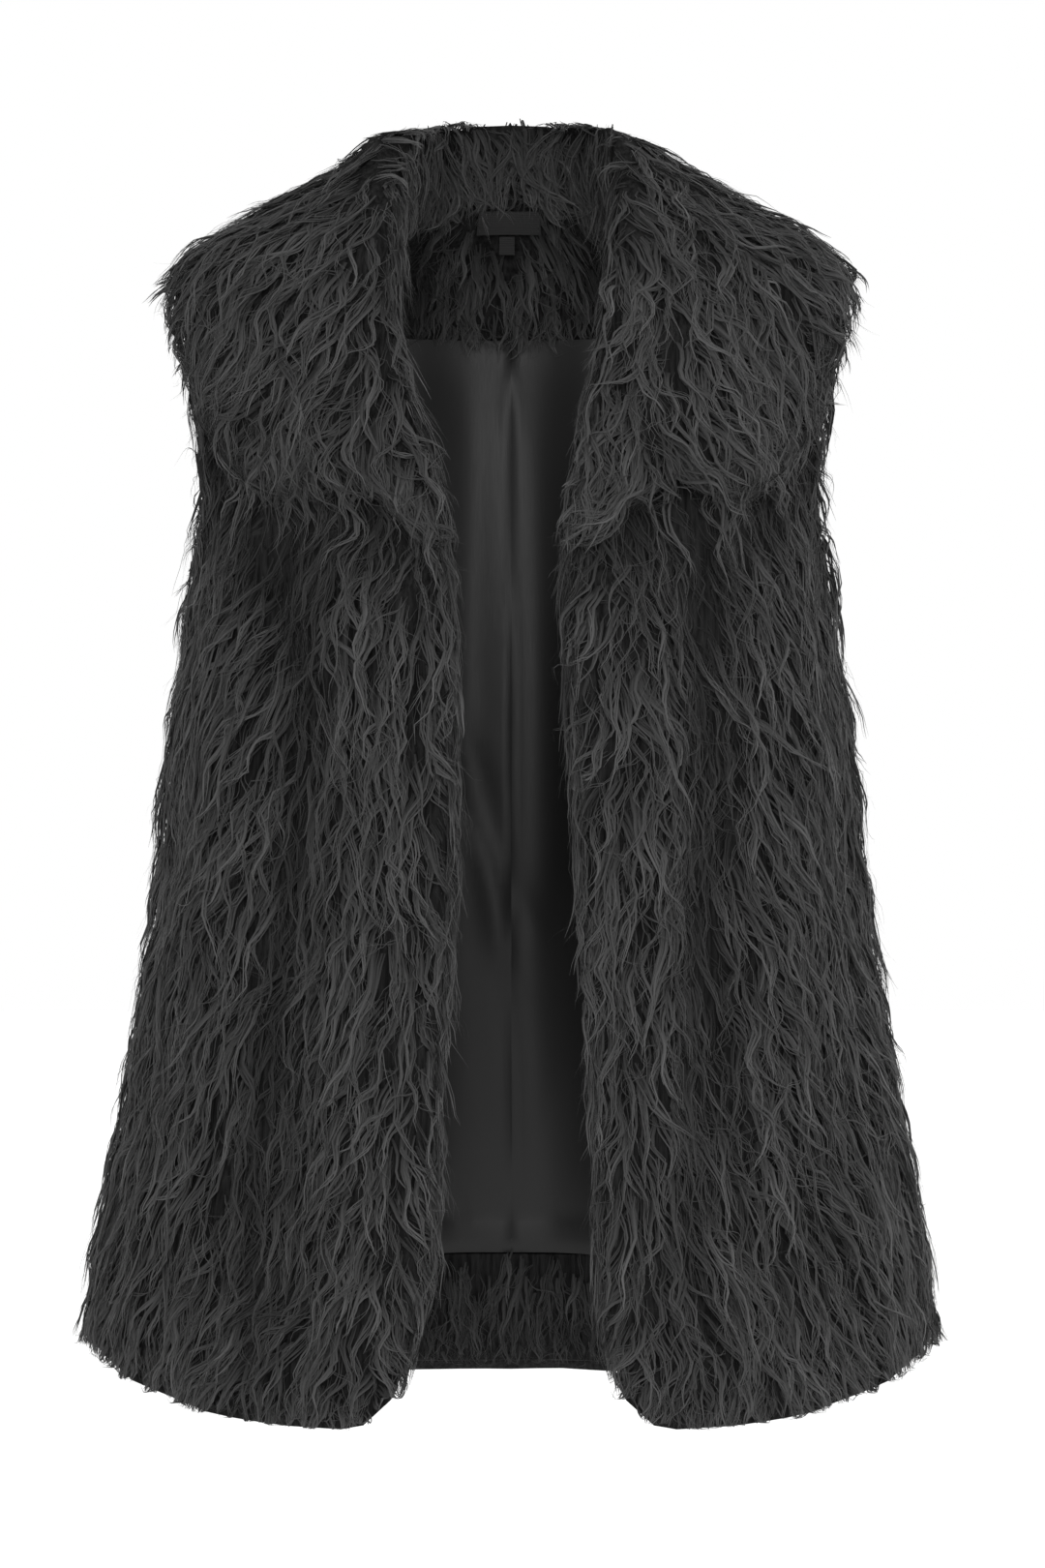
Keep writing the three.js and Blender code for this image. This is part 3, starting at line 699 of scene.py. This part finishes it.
def fur(node, lie_on, look, material, seed, keep=everywhere):
    """The hair of a node: its locks, and the single hairs that stray over them."""
    wisps = {**look, **WISP_LOOK, "locks_per_cm2": look["wisps_per_cm2"]}
    pieces = [
        grow(f"{node}_locks", node, lie_on, look, material, seed, keep),
        grow(f"{node}_wisps", node, lie_on, wisps, material, seed + 50, keep),
    ]
    return pieces


back = underhair("back")
BACK_LOOK = {**PANEL_LOOK, "width": (1.6, 5.4), "lock_radius": 6.5}
back_hair = fur("back", OUTSIDE, BACK_LOOK, LONG_HAIR, seed=11)

# ---- Fronts: fur fabric
# A left and a right panel of the same fabric. Their hair leans over the open front edges and
# stands out a little at the side seams.
FRONT_Y = -0.02  # the inner edges are looked for in front of this
EDGE_LEAN = 0.022  # hair leans over the edge within this distance of it
LEAN_Y = -0.03  # and in front of this
SIDE_X = 0.2  # at the side seams the hair stands out in full


def edge_of(name):
    """How far the inner front edge of a CAD node lies from the middle, as a function of height."""
    points = SHELL[name][0]
    front = points[points[:, 1] < FRONT_Y]
    heights = np.arange(front[:, 2].min(), front[:, 2].max(), 0.01)
    reach = [abs(front[abs(front[:, 2] - z) < 0.02, 0]).min() for z in heights]
    return lambda z: float(np.interp(z, heights, reach))


def fan_from(edge, inwards, outwards):
    """Hair leans over the open edge near it, and outwards towards the side."""

    def fan(place):
        near = math.exp(-((max(abs(place.x) - edge(place.z), 0) / EDGE_LEAN) ** 2))
        near = near if place.y < LEAN_Y else 0
        side = 1 if place.x > 0 else -1
        spread = outwards * min(abs(place.x) / SIDE_X, 1) ** 2
        return Vector((side * (spread - inwards * near), 0, 0))

    return fan


# The one deep fold of each front, from the hem up to the collar, in metres. Its hair sinks in it and
# is painted darker as shade, and at the top the painted shade widens into the shadow under the
# collar's edge
FRONT_FOLDS_AND_SHADE = {
    "left": [
        {"z": -0.70, "x": 0.100, "half": 0.013, "shade": 0.3},
        {"z": -0.62, "x": 0.100, "half": 0.013, "shade": 0.55},
        {"z": -0.56, "x": 0.111, "half": 0.012, "shade": 0.6},
        {"z": -0.49, "x": 0.104, "half": 0.013, "shade": 0.65},
        {"z": -0.42, "x": 0.109, "half": 0.012, "shade": 0.6},
        {"z": -0.36, "x": 0.117, "half": 0.012, "shade": 0.75},
        {"z": -0.29, "x": 0.108, "half": 0.015, "shade": 0.7},
        {"z": -0.22, "x": 0.114, "half": 0.024, "shade": 1.0},
        {"z": -0.18, "x": 0.118, "half": 0.048, "shade": 1.0},
    ],
    "right": [
        {"z": -0.70, "x": 0.152, "half": 0.013, "shade": 0.4},
        {"z": -0.62, "x": 0.150, "half": 0.013, "shade": 0.75},
        {"z": -0.56, "x": 0.148, "half": 0.012, "shade": 0.8},
        {"z": -0.49, "x": 0.137, "half": 0.012, "shade": 0.85},
        {"z": -0.42, "x": 0.129, "half": 0.012, "shade": 0.75},
        {"z": -0.36, "x": 0.120, "half": 0.012, "shade": 0.7},
        {"z": -0.29, "x": 0.115, "half": 0.014, "shade": 0.8},
        {"z": -0.23, "x": 0.136, "half": 0.024, "shade": 1.0},
        {"z": -0.18, "x": 0.126, "half": 0.048, "shade": 1.0},
    ],
}
for side, seed in (("left", 21), ("right", 22)):
    node = f"front_{side}"
    FRONT_LOOK = {
        **PANEL_LOOK,
        "fold": FRONT_FOLDS_AND_SHADE[side],
        "fan": fan_from(edge_of(node), inwards=0.7, outwards=0.3),
        "locks_per_cm2": 0.74,
        "wisps_per_cm2": 0.54,
    }
    panel = underhair(node)
    hair = fur(node, OUTSIDE, FRONT_LOOK, LONG_HAIR, seed)

# ---- Collar: fur fabric
# Two halves of a wide shawl collar, joined at the centre back. It stands round the neck, rolls
# over and lies on the shoulders and fronts, with the longest and softest hair.
LABEL_X = -0.0016  # the label's middle, from the vest's
LABEL_BACK = SHELL["neck_label"][0][:, 1].max() + 0.008
LABEL_ZONES = [  # where hair would hide the label and the tab, from the label's middle, in metres
    {"x0": -0.0275, "x1": 0.0275, "z0": -0.0005, "z1": 0.0075},
    {"x0": -0.0057, "x1": 0.0033, "z0": -0.0125, "z1": -0.002},
]


def clear_of_labels(place):
    """The label and the size tab lie on the neck facing's hair, below the collar's."""
    across = place.x - LABEL_X
    hides = [
        zone["x0"] < across < zone["x1"] and zone["z0"] < place.z < zone["z1"]
        for zone in LABEL_ZONES
    ]
    return not 0 < place.y < LABEL_BACK or not any(hides)


COLLAR_HAIR = hair_material("acrylic_collar_hair", "#0a0a0a", "#1d1d1d", "#2a2a2a")
for side, seed in (("left", 31), ("right", 32)):
    node = f"collar_{side}"
    COLLAR_LOOK = {
        **PANEL_LOOK,
        "fan": fan_from(edge_of(node), inwards=0.75, outwards=0.5),
        "locks_per_cm2": 0.96,
        "wisps_per_cm2": 0.62,
        "length": (42, 88),
        "stray": 18,
        "swirl": 38,
        "wave": (1.8, 5.4),
        "overhang": (4, 22),
    }
    half = underhair(node)
    hair = fur(node, OUTSIDE, COLLAR_LOOK, COLLAR_HAIR, seed, clear_of_labels)

# ---- Facings: fur fabric
# Strips of the same fabric inside the back, one below the neck seam and one along the hem. Their
# hair is crushed flat by wear and lies in the garment's own shade.
FACING_HAIR = hair_material("acrylic_facing_hair", "#0e0e0e", "#1e1e1e", "#2c2c2c")
FACING_LOOK = {
    **PANEL_LOOK,
    "locks_per_cm2": 1.05,
    "wisps_per_cm2": 0.8,
    "length": (28, 56),
    "stray": 9,
    "swirl": 16,
    "wave": (0.6, 2.2),
    "wave_length": (16, 34),
    "hook": 2,
    "rise": (-2, 1),
    "root_depth": 0.2,
    "flyaway": 0.05,
    "lock_radius": 3.8,
    "width": (0.8, 3.0),
    "overhang": (4, 26),
    "hem_cut": -0.5,
    "shelter": 0.2,
    "behind_label": True,
}
NECK_CORNER_SHADE = [  # painted shade: the hair in the corners between the neck and the collar's rolls is painted dark, as they lie in deep shade, in metres
    {"z": -0.09, "x": 0.064, "half": 0.012, "shade": 0.6},
    {"z": -0.04, "x": 0.066, "half": 0.018, "shade": 0.9},
    {"z": 0.02, "x": 0.068, "half": 0.022, "shade": 1.0},
]
HEM_SHADE = [  # painted shade: the lower down inside the hem, the darker the hair's colour, as less light reaches it there, in metres
    {"z": -0.70, "x": 0.0, "half": 0.3, "shade": 0.5},
    {"z": -0.66, "x": 0.0, "half": 0.3, "shade": 0.35},
    {"z": -0.64, "x": 0.0, "half": 0.3, "shade": 0.0},
]
for node, fold, seed, size in (
    ("neck_facing", NECK_CORNER_SHADE, 41, (0.44, 0.085)),
    ("hem_facing", HEM_SHADE, 42, (0.56, 0.095)),
):
    strip = underhair(node)
    look = {**FACING_LOOK, "fold": fold}
    hair = fur(node, [node], look, FACING_HAIR, seed, clear_of_labels)

# ---- Lining: satin
# Two halves of thin polyester satin inside the back, seamed at the centre and hung between the two
# facings. It is cut a little wide, so it falls in soft creases and in a fold above the hem facing.


def sides_of(triangles):
    """Each triangle's three sides, as pairs of corners."""
    return np.sort(triangles[:, [0, 1, 1, 2, 2, 0]].reshape(-1, 2), axis=1)


def finer(points, triangles):
    """Splits each triangle into four at the middles of its sides."""
    unique, index = np.unique(sides_of(triangles), axis=0, return_inverse=True)
    a, b, c = triangles.T
    ab, bc, ca = (index.reshape(-1, 3) + len(points)).T
    quarters = [[a, ab, ca], [ab, b, bc], [ca, bc, c], [ab, bc, ca]]
    return (
        np.concatenate([points, points[unique].mean(1)]),
        np.concatenate([np.stack(quarter, 1) for quarter in quarters]),
    )


def near_sum(pairs, values):
    """The sum of each corner's neighbours' values, and how many neighbours it has."""
    total = np.zeros_like(values)
    count = np.zeros(len(values))
    for near, far in (pairs.T, pairs.T[::-1]):
        np.add.at(total, near, values[far])
        np.add.at(count, near, 1)
    return total, count


RIM_TURN = 0.93  # the mean normal at a corner of a wall's rim is shorter than this


def softened(points, triangles, rounds):
    """Smooths the faces of a thin wall, and evens the depth of its sharp rims."""
    normals = unit(face_normals(points, triangles))
    turned = np.zeros((len(points), 3))
    shares = np.zeros(len(points))
    for i in range(3):
        np.add.at(turned, triangles[:, i], normals)
        np.add.at(shares, triangles[:, i], 1)
    rim = np.linalg.norm(turned, axis=1) / shares < RIM_TURN
    sides = np.unique(sides_of(triangles), axis=0)
    for _ in range(rounds):
        total, count = near_sum(sides, points)
        points = np.where(rim[:, None], points, total / np.maximum(count, 1)[:, None])
    on_rim = triangles[rim[triangles].sum(1) == 2]
    pairs = on_rim[rim[on_rim]].reshape(-1, 2)
    for _ in range(rounds):
        total, count = near_sum(pairs, points[:, 1])
        points[:, 1] = np.where(count > 1, total / np.maximum(count, 1), points[:, 1])
    return points


# Its creases, in mm: from, to, half width, and height towards the wearer (a trough is below zero)
CREASES = [
    {"x0": 54, "z0": -50, "x1": 68, "z1": -690, "half": 30, "height": 16.0},
    {"x0": -72, "z0": -50, "x1": -78, "z1": -690, "half": 30, "height": 14.0},
    {"x0": -6, "z0": -84, "x1": -5, "z1": -600, "half": 15, "height": 1.6},
    {"x0": -24, "z0": -96, "x1": -22, "z1": -300, "half": 9, "height": -0.5},
    {"x0": -38, "z0": -300, "x1": 16, "z1": -436, "half": 9, "height": -1.3},
    {"x0": -44, "z0": -328, "x1": 6, "z1": -462, "half": 8, "height": 1.6},
    {"x0": 34, "z0": -380, "x1": 22, "z1": -560, "half": 12, "height": 0.9},
    {"x0": -33, "z0": -450, "x1": -30, "z1": -600, "half": 11, "height": 0.7},
    {"x0": -47, "z0": -590, "x1": -20, "z1": -630, "half": 5, "height": -0.8},
    {"x0": -40, "z0": -600, "x1": -12, "z1": -634, "half": 4, "height": 0.9},
    {"x0": -128, "z0": -300, "x1": -120, "z1": -590, "half": 9, "height": 3.0},
    {"x0": 126, "z0": -260, "x1": 139, "z1": -600, "half": 10, "height": 3.4},
]
FOLD_DEEP = 13  # the fold along the lower edge, in mm
FOLD_OUT = 4.5
SEAM_DIP = 0.16  # the stitched centre seam draws the cloth in, in mm
SEAM_HALF = 1.3
SEAM_SLACK = -0.26  # below this height the seam hangs slack and hardly shows, in metres
SEAM_BLEND = 0.06
SMOOTHING = 30


def crease_height(places, crease):
    """How far one crease moves each place, in metres. It fades out towards its ends."""
    start = np.array([crease["x0"], crease["z0"]]) / 1000
    run = np.array([crease["x1"], crease["z1"]]) / 1000 - start
    flat = places[:, [0, 2]] - start
    along = (flat @ run) / (run @ run)
    wander = 0.003 * np.sin(along * 7 + crease["half"])
    off = (flat @ np.array([-run[1], run[0]])) / np.linalg.norm(run) + wander
    fade = np.clip(np.minimum(along + 0.12, 1.12 - along) / 0.3, 0, 1)
    fade = fade * fade * (3 - 2 * fade)
    return crease["height"] / 1000 * fade * np.exp(-((off * 1000 / crease["half"]) ** 2))


def satin_material(name, dark, light):
    """Polyester satin: smooth and faintly glossy, with its floats running down the cloth. The real
    yarns are 0.1 mm apart, drawn here 0.7 mm apart so that they show at all."""
    material = new_material(name)
    place = add(material, "TexCoord")
    lean = add(material, "Mapping", {"Vector": place.outputs["Object"]}, Scale=(1, 1, 0.04))
    yarns = add(material, "TexNoise", {"Vector": lean.outputs["Vector"]}, Scale=1400, Detail=1.0)
    clouds = add(material, "TexNoise", {"Vector": place.outputs["Object"]}, Scale=9, Detail=2.0)
    colour = add(material, "ValToRGB", {"Fac": clouds.outputs["Fac"]})
    colour.color_ramp.elements[0].position = 0.3
    colour.color_ramp.elements[0].color = linear(dark)
    colour.color_ramp.elements[1].position = 0.72
    colour.color_ramp.elements[1].color = linear(light)
    gloss = add(
        material, "MapRange", {"Value": yarns.outputs["Fac"]}, To_Min=0.46, To_Max=0.56
    )
    bump = add(material, "Bump", {"Height": yarns.outputs["Fac"]}, Strength=0.12, Distance=0.0003)
    shader = add(
        material,
        "BsdfPrincipled",
        {
            "Base Color": colour.outputs["Color"],
            "Roughness": gloss.outputs["Result"],
            "Normal": bump.outputs["Normal"],
        },
        IOR=1.5,
        Specular_IOR_Level=0.21,
    )
    add(material, "OutputMaterial", {"Surface": shader.outputs["BSDF"]})
    return material


SATIN = satin_material("polyester_satin", "#0e0e0e", "#141414")
for node in ("lining_back_left", "lining_back_right"):
    points, triangles = finer(*finer(*SHELL[node]))
    points = softened(points, triangles, SMOOTHING)
    inwards = -unit(points * ROUND_TORSO)
    height = sum(crease_height(points, crease) for crease in CREASES)
    edge = lower_edge(points, points[:, 0], columns=40, reach=0.008)
    above = (points[:, 2] - edge) * 1000
    bulge = np.sin(math.pi * np.clip(above / FOLD_DEEP, 0, 1)) ** 0.7
    height = height + FOLD_OUT / 1000 * bulge
    drawn_in = 0.25 + 0.75 * np.clip((points[:, 2] - SEAM_SLACK) / SEAM_BLEND, 0, 1)
    centre_seam = SEAM_DIP / 1000 * drawn_in * np.exp(-((points[:, 0] * 1000 / SEAM_HALF) ** 2))
    moved = points + inwards * (height - centre_seam)[:, None]
    moved[abs(points[:, 0]) < SEAM_HALF_GAP, 0] = 0
    piece = mesh_object(f"{node}_satin", moved, triangles, SATIN)
    piece.data.set_sharp_from_angle(angle=SHARP)
    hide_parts(node)

# ---- Label and size tab: woven tape
# A plain woven label across the back neck, with its ends folded under and stitched down, and a
# small folded tab below it. Both are bare.


def woven_material(name, dark, light):
    """Narrow-woven polyester tape: matt, with fine ribs across it, 0.5 mm apart."""
    material = new_material(name)
    place = add(material, "TexCoord")
    ribs = add(
        material,
        "TexWave",
        {"Vector": place.outputs["Object"]},
        wave_type="BANDS",
        bands_direction="Z",
        Scale=320,
        Distortion=0.6,
    )
    colour = add(material, "ValToRGB", {"Fac": ribs.outputs["Fac"]})
    colour.color_ramp.elements[0].color = linear(dark)
    colour.color_ramp.elements[1].color = linear(light)
    bump = add(material, "Bump", {"Height": ribs.outputs["Fac"]}, Strength=0.4, Distance=0.0003)
    shader = add(
        material,
        "BsdfPrincipled",
        {"Base Color": colour.outputs["Color"], "Normal": bump.outputs["Normal"]},
        Roughness=0.7,
        IOR=1.5,
        Specular_IOR_Level=0.25,
    )
    add(material, "OutputMaterial", {"Surface": shader.outputs["BSDF"]})
    return material


STITCH = 0.0022  # length of a stitch
THREAD_RADIUS = 0.00022
STITCH_SIDES = 6
STITCH_RINGS = [  # how far along the stitch, and how thick the thread is there
    {"at": -0.5, "share": 0.35},
    {"at": -0.3, "share": 1.0},
    {"at": 0.3, "share": 1.0},
    {"at": 0.5, "share": 0.35},
]


def stitches(name, places, material):
    """Upright stitches on the label's face: small capsules whose ends sink into the cloth."""
    along, out, side = Vector((0, 0, 1)), Vector((0, -1, 0)), Vector((1, 0, 0))
    points, faces = [], []
    for place in places:
        first = len(points)
        for ring in STITCH_RINGS:
            thick = THREAD_RADIUS * ring["share"]
            for i in range(STITCH_SIDES):
                angle = 2 * math.pi * i / STITCH_SIDES
                reach = side * math.cos(angle) * thick + out * math.sin(angle) * thick
                points.append(place + along * ring["at"] * STITCH + reach)
        for row in range(len(STITCH_RINGS) - 1):
            low = first + row * STITCH_SIDES
            high = low + STITCH_SIDES
            for i in range(STITCH_SIDES):
                j = (i + 1) % STITCH_SIDES
                faces.append([low + i, low + j, high + j, high + i])
    return mesh_object(name, points, faces, material)


def along_ends(points, inset, rows):
    """Places down both ends of the label, on the face that the wearer's neck touches."""
    face = points[points[:, 1] < points[:, 1].mean()]
    places = []
    for x in (points[:, 0].min() + inset, points[:, 0].max() - inset):
        for z in np.linspace(points[:, 2].min() + inset, points[:, 2].max() - inset, rows):
            y = face[np.argmin(abs(face[:, 0] - x) + abs(face[:, 2] - z)), 1]
            places.append(Vector((x, y - 0.0001, z)))
    return places


WOVEN = woven_material("woven_tape", "#0a0a0a", "#1a1a1a")
THREAD = satin_material("polyester_thread", "#161616", "#242424")
for node, flat in (("neck_label", (0.045, 0.012)), ("size_tab", (0.0101, 0.0112))):
    points, triangles = finer(*SHELL[node])
    tape = mesh_object(f"{node}_tape", points, triangles, WOVEN, smooth=False)
    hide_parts(node)
    if node == "neck_label":
        places = along_ends(points, inset=0.002, rows=4)
        seam = stitches("label_stitches", places, THREAD)

# ---- Floor and light
# A white studio: a pale floor where the wearer would stand, a white surround, and large soft
# lights in front, a little stronger from the right.
FLOOR_HALF = 20
stage_material = new_material("white_studio_paint")
stage_shader = add(
    stage_material,
    "BsdfPrincipled",
    Base_Color=linear("#f4f4f4"),
    Roughness=0.9,
    Emission_Color=linear("#ffffff"),
    Emission_Strength=0.2,
)
add(stage_material, "OutputMaterial", {"Surface": stage_shader.outputs["BSDF"]})
floor_mesh = bpy.data.meshes.new("floor")
quarters = [(-1, -1), (1, -1), (1, 1), (-1, 1)]
floor_corners = [(x * FLOOR_HALF, y * FLOOR_HALF, 0) for x, y in quarters]
floor_mesh.from_pydata(floor_corners, [], [(0, 1, 2, 3)])
floor_mesh.materials.append(stage_material)
floor = bpy.data.objects.new("floor", floor_mesh)
floor.location = (0, 0, -1.38)
bpy.context.scene.collection.objects.link(floor)

world = bpy.data.worlds.new("white_surround")
bpy.context.scene.world = world
world.use_nodes = True
world.node_tree.nodes["Background"].inputs["Color"].default_value = (1, 1, 1, 1)
world.node_tree.nodes["Background"].inputs["Strength"].default_value = 1.0
VEST_MIDDLE = Vector((0, 0, -0.35))


def soft_light(name, place, power, size):
    light = bpy.data.lights.new(name, "AREA")
    light.energy = power
    light.size = size
    lamp = bpy.data.objects.new(name, light)
    lamp.location = place
    lamp.rotation_euler = (VEST_MIDDLE - Vector(place)).to_track_quat("-Z", "Y").to_euler()
    bpy.context.scene.collection.objects.link(lamp)


soft_light("front_softbox", (0.0, -3.2, 0.3), power=80, size=1.3)
soft_light("right_softbox", (2.7, -1.3, 0.9), power=38, size=1.6)
bpy.context.scene.view_settings.view_transform = "Standard"
